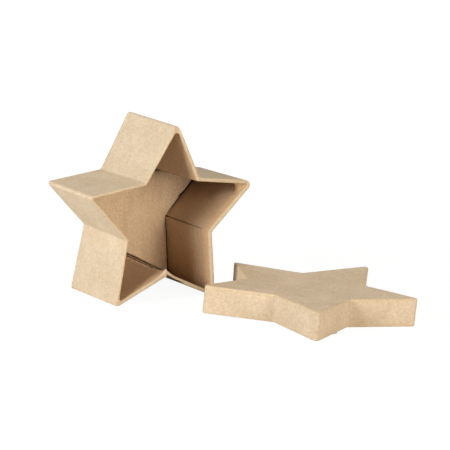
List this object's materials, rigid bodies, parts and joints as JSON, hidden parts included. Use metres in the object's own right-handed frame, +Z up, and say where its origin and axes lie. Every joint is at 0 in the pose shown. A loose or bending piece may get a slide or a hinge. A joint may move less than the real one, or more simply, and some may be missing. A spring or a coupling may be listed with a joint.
{
  "type": "star box",
  "caption": "Papier-mache box in the shape of a star, with a deep tray standing on two tips, a card floor inside it, and a shallow lift-off lid lying beside it.",
  "frame": {"origin": "on the ground, under the middle of the tray and lid together", "axes": "+Z up, +Y the way the tray's closed bottom faces, +X from the tray toward the lid"},
  "size_m": [0.194, 0.1698, 0.1142],
  "materials": {
    "papier_mache": "matt kraft paper over card, with fine fibres",
    "floor_card": "matt card with a rough cut edge"
  },
  "bodies": {
    "root": {"base_shell": "papier_mache", "floor_card": "floor_card", "lid": "papier_mache"}
  },
  "joints": []
}
